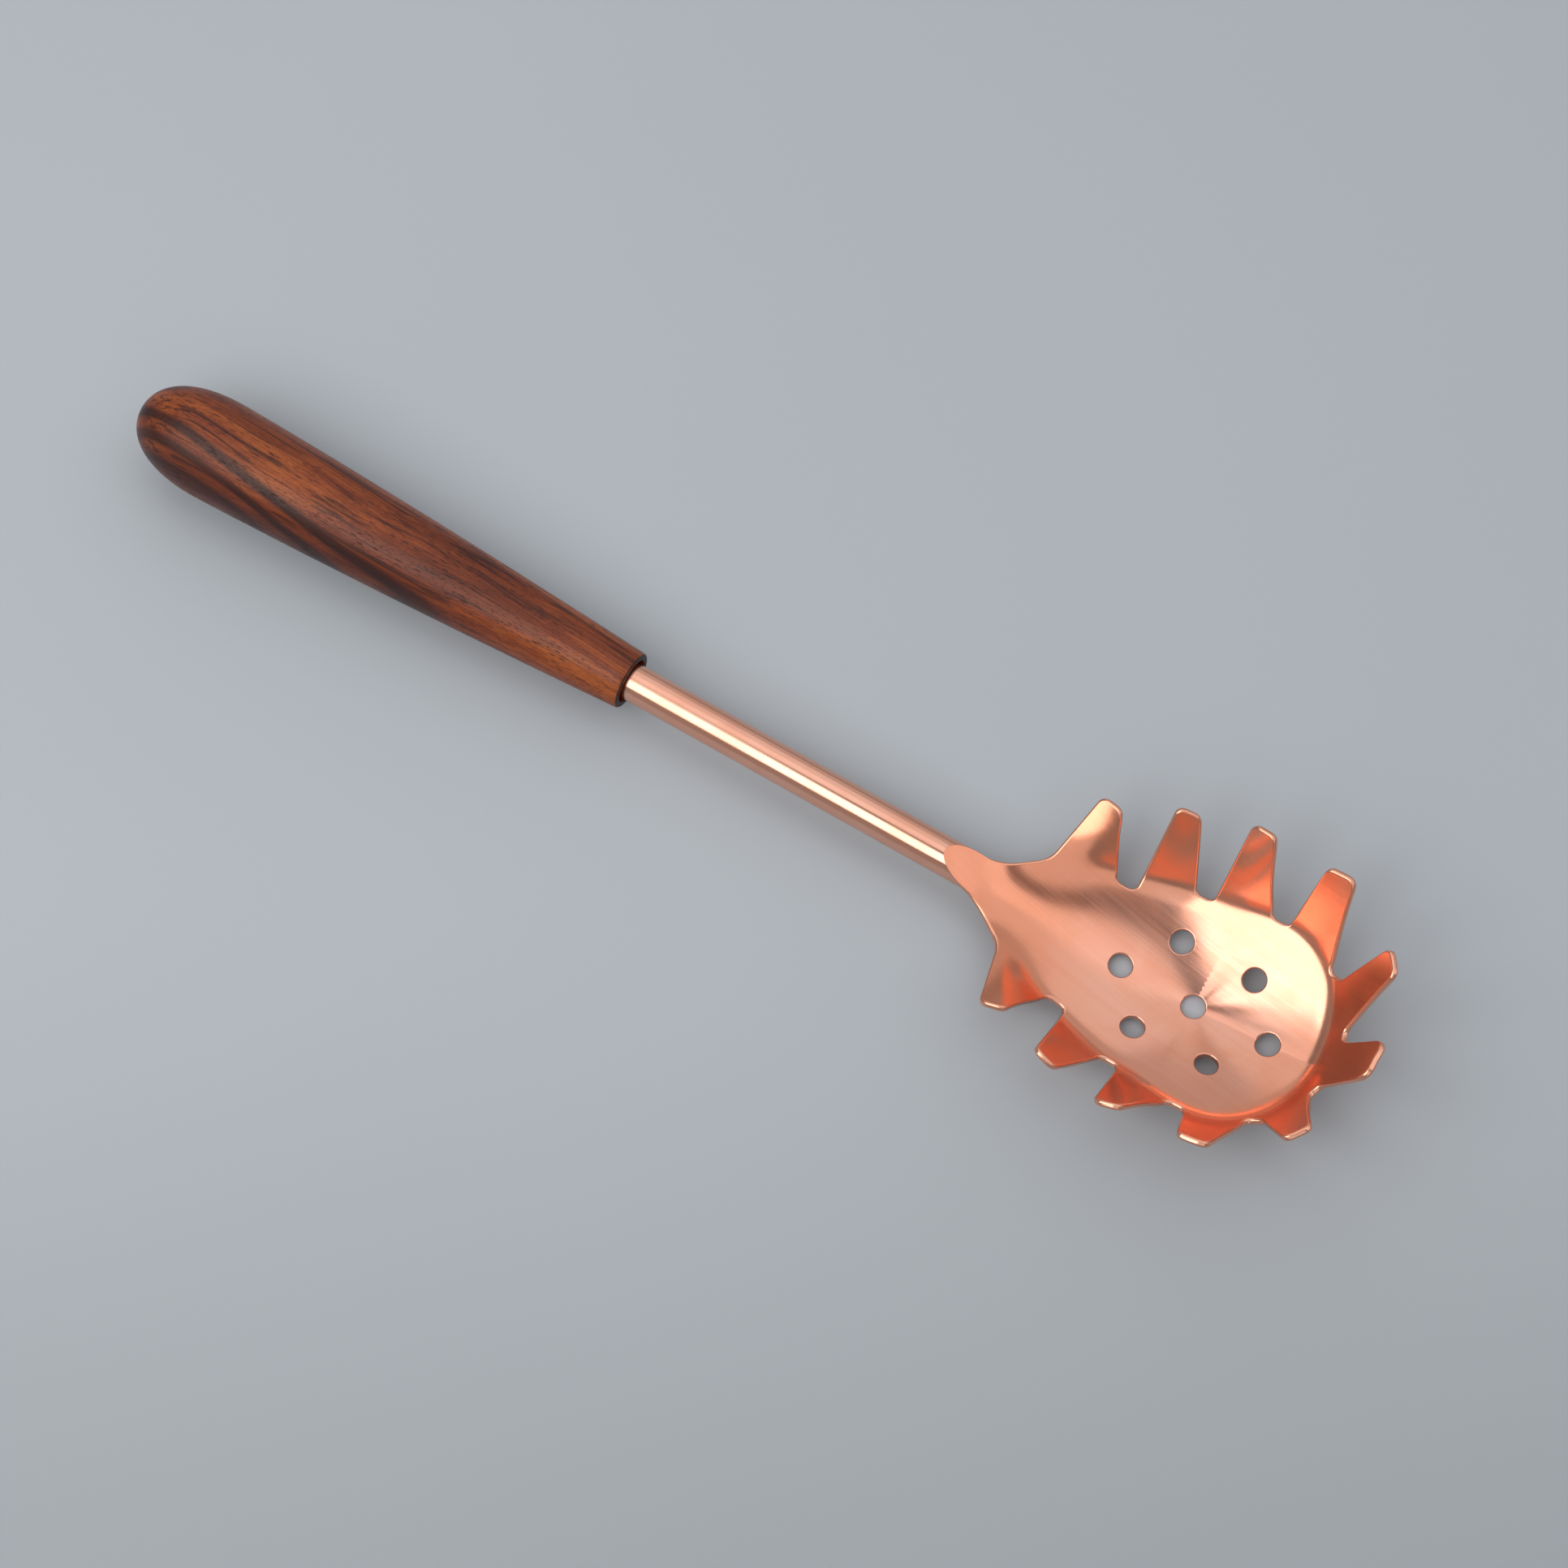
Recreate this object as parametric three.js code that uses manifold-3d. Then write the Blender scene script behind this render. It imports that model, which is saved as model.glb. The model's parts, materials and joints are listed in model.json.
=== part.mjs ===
// Pasta server: a pressed sheet head with eleven tines, brazed to a mitred tube
// that is bonded into a turned wooden handle. Millimetres, +X from the handle to
// the head, +Y across, +Z up. The server lies on its bowl and its handle at z = 0.
import * as THREE from 'three';
import { mergeVertices } from 'three/addons/utils/BufferGeometryUtils.js';
import { TessellateModifier } from 'three/addons/modifiers/TessellateModifier.js';
import Module from 'manifold-3d';

const wasm = await Module();
wasm.setup();

// Driving dimensions

const sheet = { thickness: 1.6, facetLength: 7, splits: 24 };
const holes = { radius: 2.9, pitch: 19.7, acrossScale: 0.725 };
const tube = { radius: 4.75, wall: 1, insertion: 62 };
const handle = {
  length: 146,
  mouthRadius: 7.5,
  bellyRadius: 13.2,
  bellyToButt: 23,
  domeExponent: 2.3,
  mouthRounding: 0.7,
  taperExponent: 1.12,
  waistBulge: 0.35,
  boreRadius: 5.75,
  boreDepth: 66,
};
const clearance = 0.3; // between pieces that touch
const resinDepth = 5; // how far the resin stays behind the mouth
const mouthToBowl = 156.6; // from the handle's mouth to the middle of the bowl
const bowlBelowShaft = 9.8; // underside of the bowl below the shaft's axis
const restCut = 0.3; // dressed off the underside, so that it rests on a small flat
const bead = { x: -53, z: 5.4, halfLength: 6.5, halfWidth: 3.6, halfHeight: 2.2 };

// How the press forms the blank. Distances are measured on the flat blank, whose
// origin is the middle of the bowl and whose x axis runs along the spine.
// The spine steepens by a power of the distance from the middle of the bowl.
const floor = { neckSlope: 12.5, spineExponent: 0.8 };
const neck = { crease: -54.6, creaseWidth: 6, slope: 28 };
const wallBendWidth = 9;
const frontTurn = 0.5; // station millimetres for each degree round the front

// Cross sections of the bowl, at stations along its side and round its front:
// the slope where the floor ends, the power of the distance by which it gets there,
// the slope of the tines, and the floor's reach.
const sections = [
  { station: -60.6, floorSlope: 0, power: 0.8, wallSlope: 0, reach: 14 },
  { station: -52.6, floorSlope: 27, power: 0.8, wallSlope: 15, reach: 13.5 },
  { station: -43.6, floorSlope: 28, power: 0.75, wallSlope: 30, reach: 14 },
  { station: -30.6, floorSlope: 21, power: 0.8, wallSlope: 52, reach: 19 },
  { station: -14.6, floorSlope: 20, power: 0.7, wallSlope: 49, reach: 23 },
  { station: 1.4, floorSlope: 24, power: 0.3, wallSlope: 60, reach: 27 },
  { station: 19.4, floorSlope: 22.5, power: 0.25, wallSlope: 62, reach: 32 },
  { station: 45.4, floorSlope: 16, power: 0.7, wallSlope: 69, reach: 32 },
];

// One half of the blank's outline, from the tongue to the middle of the front
// tine: corners as x, y and the radius that rounds them.
const halfOutline = [
  [-69.2, 1, 0.8], // tongue
  [-67.6, 2.7, 2.4],
  [-63.8, 4.3, 6],
  [-59.5, 5, 8],
  [-54.6, 7, 14], // neck
  [-46.7, 12.8, 8],
  [-42.6, 33, 3], // tine 1
  [-36.4, 33.2, 2.6],
  [-30.5, 16.9, 2.2],
  [-25.4, 17.2, 2],
  [-24.9, 42.9, 2.6], // tine 2
  [-19, 42.9, 2.6],
  [-12.6, 24, 2.2],
  [-7.9, 24.2, 2],
  [-7.8, 48.7, 2.6], // tine 3
  [-1.5, 49.2, 2.6],
  [6.5, 27.4, 2.4],
  [11.2, 27.3, 2.2],
  [16.5, 48.2, 3], // tine 4
  [26.4, 47.8, 3.6],
  [25.1, 21.5, 2.8],
  [29.6, 21.1, 2.2],
  [44.9, 34.7, 3.2], // tine 5
  [50.7, 27.6, 3.6],
  [37.4, 9.5, 2.2],
  [39.5, 6.8, 2],
  [60.8, 7.3, 5], // half of tine 6
];

const innerFaceHeight = sheet.thickness - restCut; // in the middle of the bowl
const roundSides = 36;
const cutterSize = 60;

// Geometry helpers

const radians = THREE.MathUtils.degToRad;
const ease = (t) => THREE.MathUtils.smoothstep(t, 0, 1);

function solid(geometry) {
  const bare = geometry.clone();
  bare.deleteAttribute('normal');
  bare.deleteAttribute('uv');
  const merged = mergeVertices(bare, 1e-4);
  return new wasm.Manifold(
    new wasm.Mesh({
      numProp: 3,
      vertProperties: merged.attributes.position.array,
      triVerts: new Uint32Array(merged.index.array),
    }),
  );
}

function geometryOf(manifold) {
  const mesh = manifold.getMesh();
  const geometry = new THREE.BufferGeometry();
  geometry.setAttribute('position', new THREE.BufferAttribute(mesh.vertProperties, 3));
  geometry.setIndex(new THREE.BufferAttribute(mesh.triVerts, 1));
  geometry.computeVertexNormals();
  return geometry;
}

// A lathe turned about +X, from [x, radius] pairs that run from low x to high x
// along the outside.
function turnedAboutX(profile) {
  const points = profile.map(([x, radius]) => new THREE.Vector2(radius, x));
  const geometry = new THREE.LatheGeometry(points, roundSides);
  return geometry.rotateZ(-Math.PI / 2);
}

// The bowl

// Smooth interpolation of one value of the cross sections at a station.
function sectionValue(name, station) {
  const last = sections.length - 1;
  const x = THREE.MathUtils.clamp(station, sections[0].station, sections[last].station);
  let i = 0;
  while (i < last - 1 && x > sections[i + 1].station) i += 1;
  const tangent = (j) => {
    const before = sections[Math.max(j - 1, 0)];
    const after = sections[Math.min(j + 1, last)];
    return (after[name] - before[name]) / (after.station - before.station);
  };
  const from = sections[i];
  const to = sections[i + 1];
  const span = to.station - from.station;
  const t = (x - from.station) / span;
  return (
    (1 + 2 * t) * (1 - t) ** 2 * from[name] +
    t * (1 - t) ** 2 * span * tangent(i) +
    t * t * (3 - 2 * t) * to[name] +
    t * t * (t - 1) * span * tangent(i + 1)
  );
}

// Follows a slope, in radians, over a distance: how far it gets and how high.
function follow(slopeAt, distance) {
  const steps = 48;
  const step = distance / steps;
  let along = 0;
  let up = 0;
  for (let i = 0; i < steps; i += 1) {
    const slope = slopeAt((i + 0.5) * step);
    along += Math.cos(slope) * step;
    up += Math.sin(slope) * step;
  }
  return { along, up };
}

// Slope of the spine behind the middle of the bowl, rising towards the handle.
function spineSlope(distance) {
  const share = THREE.MathUtils.clamp(distance / -neck.crease, 0, 1);
  const pastCrease = (distance + neck.crease + neck.creaseWidth / 2) / neck.creaseWidth;
  const toNeck = (neck.slope - floor.neckSlope) * ease(pastCrease);
  return radians(floor.neckSlope * share ** floor.spineExponent + toNeck);
}

// Slope of the wall at a distance from the spine.
function wallSlope(distance, station) {
  const reach = sectionValue('reach', station);
  const floorEnd = sectionValue('floorSlope', station);
  const share = Math.min(distance / reach, 1) ** sectionValue('power', station);
  const bend = ease((distance - reach + wallBendWidth / 2) / wallBendWidth);
  const toWall = (sectionValue('wallSlope', station) - floorEnd) * bend;
  return radians(floorEnd * share + toWall);
}

// Where the press takes a point of the blank's inner face.
function pressed(x, y) {
  const inFront = x > 0;
  const distance = inFront ? Math.hypot(x, y) : Math.abs(y);
  const turned = 90 - THREE.MathUtils.radToDeg(Math.atan2(Math.abs(y), x));
  const station = inFront ? turned * frontTurn : x;
  const spine = follow(spineSlope, Math.max(-x, 0));
  const wall = follow((d) => wallSlope(d, station), distance);
  const reached = distance > 0 ? wall.along / distance : 1;
  const forward = inFront ? x * reached : -spine.along;
  return new THREE.Vector3(forward, y * reached, spine.up + wall.up);
}

// The blank's outline with rounded corners: a corner's arc is a quadratic curve.
function blankShape() {
  const mirrored = halfOutline.map(([x, y, radius]) => [x, -y, radius]).reverse();
  const corners = [...halfOutline, ...mirrored].reverse();
  const at = (i) => new THREE.Vector2(...corners[(i + corners.length) % corners.length]);
  const shape = new THREE.Shape();
  corners.forEach(([, , radius], i) => {
    const corner = at(i);
    const back = at(i - 1).sub(corner);
    const ahead = at(i + 1).sub(corner);
    const halfAngle = Math.abs(back.angleTo(ahead)) / 2;
    const cut = Math.min(radius / Math.tan(halfAngle), back.length() / 2, ahead.length() / 2);
    const start = back.setLength(cut).add(corner);
    const end = ahead.setLength(cut).add(corner);
    if (i === 0) shape.moveTo(start.x, start.y);
    else shape.lineTo(start.x, start.y);
    shape.quadraticCurveTo(corner.x, corner.y, end.x, end.y);
  });
  shape.closePath();
  return shape;
}

function drainHoles() {
  const around = [0, 1, 2, 3, 4, 5].map((i) => {
    const angle = (i * Math.PI) / 3;
    const across = holes.pitch * holes.acrossScale;
    return [holes.pitch * Math.cos(angle), across * Math.sin(angle)];
  });
  return [[0, 0], ...around].map(([x, y]) => {
    const hole = new THREE.Path();
    return hole.absarc(x, y, holes.radius, 0, 2 * Math.PI, true);
  });
}

function serverHead() {
  const shape = blankShape();
  shape.holes = drainHoles();
  const blank = new THREE.ExtrudeGeometry(shape, {
    depth: sheet.thickness,
    bevelEnabled: false,
    curveSegments: 3,
  });
  const geometry = new TessellateModifier(sheet.facetLength, sheet.splits).modify(blank);
  const position = geometry.attributes.position;
  const nudge = 0.01;
  for (let i = 0; i < position.count; i += 1) {
    const x = position.getX(i);
    const y = position.getY(i);
    const face = pressed(x, y);
    const along = pressed(x + nudge, y).sub(pressed(x - nudge, y));
    const across = pressed(x, y + nudge).sub(pressed(x, y - nudge));
    const normal = along.cross(across).normalize();
    face.addScaledVector(normal, position.getZ(i) - sheet.thickness);
    position.setXYZ(i, face.x, face.y, face.z + innerFaceHeight);
  }
  return geometryOf(solid(geometry).trimByPlane([0, 0, 1], 0));
}

// The shaft

const bellyX = -mouthToBowl - handle.length + handle.bellyToButt;
const shaftTilt = Math.atan((handle.bellyRadius - bowlBelowShaft) / -bellyX);

// Turns a piece that was made along +X from the handle's mouth into its place.
function alongShaft(geometry) {
  geometry.translate(-mouthToBowl, 0, 0);
  geometry.rotateY(shaftTilt);
  return geometry.translate(0, 0, bowlBelowShaft);
}

// Turns a cutter to a slope and moves it to the inner face on the spine.
function ontoSpine(geometry, x, slope) {
  const touch = pressed(x, 0);
  geometry.rotateY(radians(slope));
  return geometry.translate(touch.x, 0, touch.z + innerFaceHeight);
}

// A block whose underside lies under the inner face, clear of the sheet.
function sheetBlock(x, slope) {
  const block = new THREE.BoxGeometry(cutterSize, cutterSize, cutterSize);
  block.translate(0, 0, cutterSize / 2 - sheet.thickness - clearance);
  return ontoSpine(block, x, slope);
}

// The pocket that the tongue fills: half an ellipse, open towards the bowl.
function tonguePocket() {
  const facetX = neck.crease - neck.creaseWidth;
  const halfWidth = tube.radius + clearance;
  const halfLength = tube.radius / Math.sin(radians(neck.slope));
  const centre = halfOutline[0][0] - clearance + halfLength - facetX;
  const outline = new THREE.Shape();
  outline.absellipse(centre, 0, halfLength, halfWidth, Math.PI / 2, 1.5 * Math.PI, false, 0);
  outline.lineTo(centre + cutterSize, -halfWidth);
  outline.lineTo(centre + cutterSize, halfWidth);
  const pocket = new THREE.ExtrudeGeometry(outline, { depth: cutterSize, bevelEnabled: false });
  pocket.translate(0, 0, -sheet.thickness - clearance);
  return ontoSpine(pocket, facetX, neck.slope);
}

function shaftTube() {
  const inner = tube.radius - tube.wall;
  const end = mouthToBowl + neck.crease;
  const profile = [
    [-tube.insertion, inner],
    [-tube.insertion, tube.radius],
    [end, tube.radius],
    [end, inner],
    [-tube.insertion, inner],
  ];
  const whole = solid(alongShaft(turnedAboutX(profile)));
  return geometryOf(whole.subtract(solid(tonguePocket())));
}

// The bead under the neck, clear of the tube and of the sheet by the clearance.
function brazeFillet() {
  const lump = new THREE.SphereGeometry(1, roundSides / 2, roundSides / 3);
  lump.scale(bead.halfLength, bead.halfWidth, bead.halfHeight);
  lump.translate(bead.x, 0, bead.z);
  const end = mouthToBowl + neck.crease + clearance;
  const grownTube = turnedAboutX([
    [0, 0],
    [0, tube.radius + clearance],
    [end, tube.radius + clearance],
    [end, 0],
  ]);
  const neckBlock = sheetBlock(neck.crease - neck.creaseWidth, neck.slope);
  const floorBlock = sheetBlock(neck.crease + neck.creaseWidth, floor.neckSlope);
  return geometryOf(
    solid(lump)
      .subtract(solid(alongShaft(grownTube)))
      .subtract(solid(neckBlock))
      .subtract(solid(floorBlock)),
  );
}

// The handle

function handleGrip() {
  const butt = -handle.length;
  const belly = butt + handle.bellyToButt;
  const mouthEdge = -handle.mouthRounding;
  const profile = [];
  const domeSteps = 10;
  for (let i = 0; i <= domeSteps; i += 1) {
    const reach = Math.cos((i / domeSteps) * (Math.PI / 2));
    const radius = (1 - reach ** handle.domeExponent) ** (1 / handle.domeExponent);
    profile.push([belly - handle.bellyToButt * reach, handle.bellyRadius * radius]);
  }
  const taperSteps = 10;
  for (let i = 1; i <= taperSteps; i += 1) {
    const t = i / taperSteps;
    const narrowing = t ** handle.taperExponent;
    const taper = THREE.MathUtils.lerp(handle.bellyRadius, handle.mouthRadius, narrowing);
    const bulge = handle.waistBulge * Math.sin(Math.PI * t);
    profile.push([THREE.MathUtils.lerp(belly, mouthEdge, t), taper + bulge]);
  }
  profile.push([0, handle.mouthRadius - handle.mouthRounding]);
  profile.push([0, handle.boreRadius]);
  profile.push([-handle.boreDepth, handle.boreRadius]);
  profile.push([-handle.boreDepth, 0]);
  return alongShaft(turnedAboutX(profile));
}

function bondSleeve() {
  const inner = tube.radius + clearance;
  const outer = handle.boreRadius - clearance;
  const profile = [
    [-tube.insertion, inner],
    [-tube.insertion, outer],
    [-resinDepth, outer],
    [-resinDepth, inner],
    [-tube.insertion, inner],
  ];
  return alongShaft(turnedAboutX(profile));
}

// The server

function piece(name, geometry, color, roughness, metalness) {
  const material = new THREE.MeshStandardMaterial({ color, roughness, metalness });
  const mesh = new THREE.Mesh(geometry, material);
  mesh.name = name;
  return mesh;
}

const server = new THREE.Group();
server.add(
  piece('server_head', serverHead(), 0xd98f72, 0.22, 1),
  piece('shaft_tube', shaftTube(), 0xe0a184, 0.15, 1),
  piece('braze_fillet', brazeFillet(), 0xc98a66, 0.3, 1),
  piece('handle_grip', handleGrip(), 0x7a3a20, 0.45, 0),
  piece('bond_sleeve', bondSleeve(), 0xc9b98a, 0.5, 0),
);

// The origin lies on the table, under the middle of the server's length.
const box = new THREE.Box3().setFromObject(server, true);
server.position.set(-(box.min.x + box.max.x) / 2, 0, -box.min.z);

export default server;
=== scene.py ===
import json
import math
import bpy
import numpy as np
from mathutils import Matrix, Vector
from mathutils.geometry import delaunay_2d_cdt
from mathutils.kdtree import KDTree


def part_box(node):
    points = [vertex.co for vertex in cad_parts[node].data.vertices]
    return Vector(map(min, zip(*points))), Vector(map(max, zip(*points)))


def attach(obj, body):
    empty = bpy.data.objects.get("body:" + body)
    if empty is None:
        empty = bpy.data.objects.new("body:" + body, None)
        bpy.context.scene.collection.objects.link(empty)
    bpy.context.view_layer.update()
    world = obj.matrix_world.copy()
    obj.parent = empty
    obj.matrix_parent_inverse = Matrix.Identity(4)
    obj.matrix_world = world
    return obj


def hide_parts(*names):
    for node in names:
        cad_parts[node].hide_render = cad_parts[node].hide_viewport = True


# A pasta server: a pressed copper head on a copper tube with a turned wooden handle.
# Sizes in the dictionaries are in millimetres, as a maker would write them, and mm
# turns them into metres. The head is made as its flat blank and then pressed.

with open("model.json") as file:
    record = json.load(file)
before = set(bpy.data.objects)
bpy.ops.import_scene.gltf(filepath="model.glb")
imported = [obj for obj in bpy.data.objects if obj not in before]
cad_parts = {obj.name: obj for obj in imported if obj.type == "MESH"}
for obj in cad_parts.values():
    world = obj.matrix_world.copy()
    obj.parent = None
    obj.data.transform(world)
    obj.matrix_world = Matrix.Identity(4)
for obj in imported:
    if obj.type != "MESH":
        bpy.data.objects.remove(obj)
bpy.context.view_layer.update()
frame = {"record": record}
print("frame loaded")

mm = 0.001
scene = bpy.context.scene
mounts = {mount["name"]: mount for mount in frame["record"]["mounts"]}
gripLow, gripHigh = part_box("handle_grip")

shaft = {
    "height": 9.8,  # axis above the table at the middle of the bowl
    "mouthToBowl": 156.6,
    "bellyToBowl": 279.6,
    "mountToBowl": 5.5,  # the rest mount lies beside the middle hole
}

bowlX = mounts["bowl_underside"]["pos_m"][0] + shaft["mountToBowl"] * mm
bellyRadius = (gripHigh.y - gripLow.y) / 2
shaftTilt = math.atan((bellyRadius / mm - shaft["height"]) / shaft["bellyToBowl"])
bowlMatrix = Matrix.Translation((bowlX, 0, 0)) @ Matrix.Scale(mm, 4)
shaftMatrix = (
    bowlMatrix
    @ Matrix.Translation((0, 0, shaft["height"]))
    @ Matrix.Rotation(shaftTilt, 4, "Y")
    @ Matrix.Translation((-shaft["mouthToBowl"], 0, 0))
)


# small helpers

def smoothStep(value):
    t = np.clip(value, 0, 1)
    return t * t * (3 - 2 * t)


def newPiece(name, mesh):
    piece = bpy.data.objects.new(name, mesh)
    scene.collection.objects.link(piece)
    return piece


def meshFrom(name, points, faces, matrix):
    mesh = bpy.data.meshes.new(name)
    mesh.from_pydata([tuple(p) for p in points], [], [tuple(f) for f in faces])
    mesh.transform(matrix)
    mesh.update()
    return mesh


def smoothShade(mesh, angle):
    mesh.shade_smooth()
    mesh.set_sharp_from_angle(angle=math.radians(angle))


def finishPiece(piece, node, material):
    if not piece.data.materials:
        piece.data.materials.append(material)
    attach(piece, "root")
    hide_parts(node)
    print(piece.name, "made,", len(piece.data.polygons), "faces")


def addNode(tree, kind, values=None, **settings):
    node = tree.nodes.new(kind)
    for name, value in settings.items():
        setattr(node, name, value)
    for name, value in (values or {}).items():
        if isinstance(value, bpy.types.NodeSocket):
            tree.links.new(value, node.inputs[name])
        else:
            node.inputs[name].default_value = value
    return node


def mathOf(tree, operation, first, second=0.0, third=0.0):
    values = {0: first, 1: second, 2: third}
    return addNode(tree, "ShaderNodeMath", values, operation=operation).outputs[0]


def remap(tree, value, low, high, toLow=0.0, toHigh=1.0, smooth=True):
    kind = "SMOOTHSTEP" if smooth else "LINEAR"
    values = {"Value": value, "From Min": low, "From Max": high, "To Min": toLow, "To Max": toHigh}
    return addNode(tree, "ShaderNodeMapRange", values, interpolation_type=kind).outputs["Result"]


def mixColour(tree, share, first, second, blend="MIX"):
    node = addNode(tree, "ShaderNodeMix", {"Factor": share}, data_type="RGBA", blend_type=blend)
    for socket, value in ((node.inputs[6], first), (node.inputs[7], second)):
        if isinstance(value, bpy.types.NodeSocket):
            tree.links.new(value, socket)
        else:
            socket.default_value = (*value, 1)
    return node.outputs[2]


def newMaterial(name, **sockets):
    material = bpy.data.materials.new(name)
    material.use_nodes = True
    tree = material.node_tree
    tree.nodes.clear()
    shader = addNode(tree, "ShaderNodeBsdfPrincipled")
    addNode(tree, "ShaderNodeOutputMaterial", {"Surface": shader.outputs["BSDF"]})
    for socket, value in sockets.items():
        shader.inputs[socket.replace("_", " ")].default_value = value
    return material, tree, shader


def newGroup(name, inputs, outputs):
    tree = bpy.data.node_groups.new(name, "ShaderNodeTree")
    for socket, kind, value in inputs:
        made = tree.interface.new_socket(socket, in_out="INPUT", socket_type=kind)
        if value is not None:
            made.default_value = value
    for socket, kind in outputs:
        tree.interface.new_socket(socket, in_out="OUTPUT", socket_type=kind)
    entry = tree.nodes.new("NodeGroupInput").outputs
    leave = tree.nodes.new("NodeGroupOutput").inputs
    return tree, entry, leave


def placeGroup(tree, group, values):
    node = tree.nodes.new("ShaderNodeGroup")
    node.node_tree = group
    for name, value in values.items():
        if isinstance(value, bpy.types.NodeSocket):
            tree.links.new(value, node.inputs[name])
        else:
            node.inputs[name].default_value = value
    return node.outputs


# shader groups that several materials share

vectorKind, numberKind = "NodeSocketVector", "NodeSocketFloat"


# fine lines along X of the given place, in millimetres
def brushedLinesGroup():
    inputs = [("Place", vectorKind, None), ("Spacing", numberKind, 0.3), ("Length", numberKind, 30.0)]
    outputs = [("Lines", numberKind), ("Streaks", numberKind)]
    tree, entry, leave = newGroup("brushedLines", inputs, outputs)
    across = mathOf(tree, "DIVIDE", 1.0, entry["Spacing"])
    along = mathOf(tree, "DIVIDE", 1.0, entry["Length"])
    stretch = addNode(tree, "ShaderNodeCombineXYZ", {"X": along, "Y": across, "Z": across}).outputs[0]
    values = {0: entry["Place"], 1: stretch}
    place = addNode(tree, "ShaderNodeVectorMath", values, operation="MULTIPLY").outputs[0]
    fine = addNode(tree, "ShaderNodeTexNoise", {"Vector": place, "Scale": 1.0, "Detail": 3.0})
    wide = addNode(tree, "ShaderNodeTexNoise", {"Vector": place, "Scale": 0.17, "Detail": 2.0})
    tree.links.new(remap(tree, fine.outputs["Fac"], 0.3, 0.7), leave["Lines"])
    tree.links.new(remap(tree, wide.outputs["Fac"], 0.3, 0.7), leave["Streaks"])
    return tree


# soft smudges and a few stray hairline scratches
def handlingMarksGroup():
    inputs = [("Place", vectorKind, None), ("Size", numberKind, 14.0), ("Scratch Amount", numberKind, 0.5)]
    outputs = [("Haze", numberKind), ("Scratches", numberKind)]
    tree, entry, leave = newGroup("handlingMarks", inputs, outputs)
    scale = mathOf(tree, "DIVIDE", 1.0, entry["Size"])
    haze = {"Vector": entry["Place"], "Scale": scale, "Detail": 4.0, "Distortion": 0.6}
    haze = addNode(tree, "ShaderNodeTexNoise", haze).outputs["Fac"]
    tree.links.new(remap(tree, haze, 0.35, 0.7), leave["Haze"])
    total = None
    for turn, shift in ((0.35, 0.0), (-0.5, 31.0), (1.25, 57.0)):
        turned = addNode(
            tree,
            "ShaderNodeMapping",
            {"Vector": entry["Place"], "Location": (shift, shift, 0), "Rotation": (0, 0, turn)},
        ).outputs[0]
        stretched = addNode(
            tree, "ShaderNodeVectorMath", {0: turned, 1: (0.04, 0.9, 0.9)}, operation="MULTIPLY"
        ).outputs[0]
        cells = {"Vector": stretched, "Scale": 1.0}
        cells = addNode(tree, "ShaderNodeTexVoronoi", cells, feature="F1").outputs["Distance"]
        line = remap(tree, cells, 0.02, 0.07, 1.0, 0.0)
        total = line if total is None else mathOf(tree, "MAXIMUM", total, line)
    kept = mathOf(tree, "MULTIPLY", total, entry["Scratch Amount"])
    tree.links.new(kept, leave["Scratches"])
    return tree


brushedLines = brushedLinesGroup()
handlingMarks = handlingMarksGroup()


# place in millimetres from a point of the frame, turned so that X runs where it should
def ownPlace(tree, origin, turn):
    place = addNode(tree, "ShaderNodeTexCoord").outputs["Object"]
    place = addNode(
        tree, "ShaderNodeVectorMath", {0: place, 1: tuple(origin)}, operation="SUBTRACT"
    ).outputs[0]
    return addNode(
        tree,
        "ShaderNodeMapping",
        {"Vector": place, "Rotation": turn, "Scale": (1 / mm, 1 / mm, 1 / mm)},
    ).outputs[0]


# metal finishes

copper = {
    "colour": (0.84, 0.43, 0.318),
    "deepColour": (0.78, 0.33, 0.205),
    "tineReflectionColour": (0.83, 0.31, 0.175),
    "tineReflectionReach": (15.0, 40.0),  # from the middle of the blank: where the painted reflection of the tines in each other sets in
    "tubeColour": (0.84, 0.445, 0.325),
    "brazeColour": (0.70, 0.37, 0.25),
    "rimHighlightColour": (0.90, 0.56, 0.43),  # painted highlight: a lighter colour along the rounded rims
    "rimHighlightShare": 0.35,
    "tineReflectionShare": 0.7,
    "brushTurn": math.radians(9),  # of the brushing against the spine
}


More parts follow.
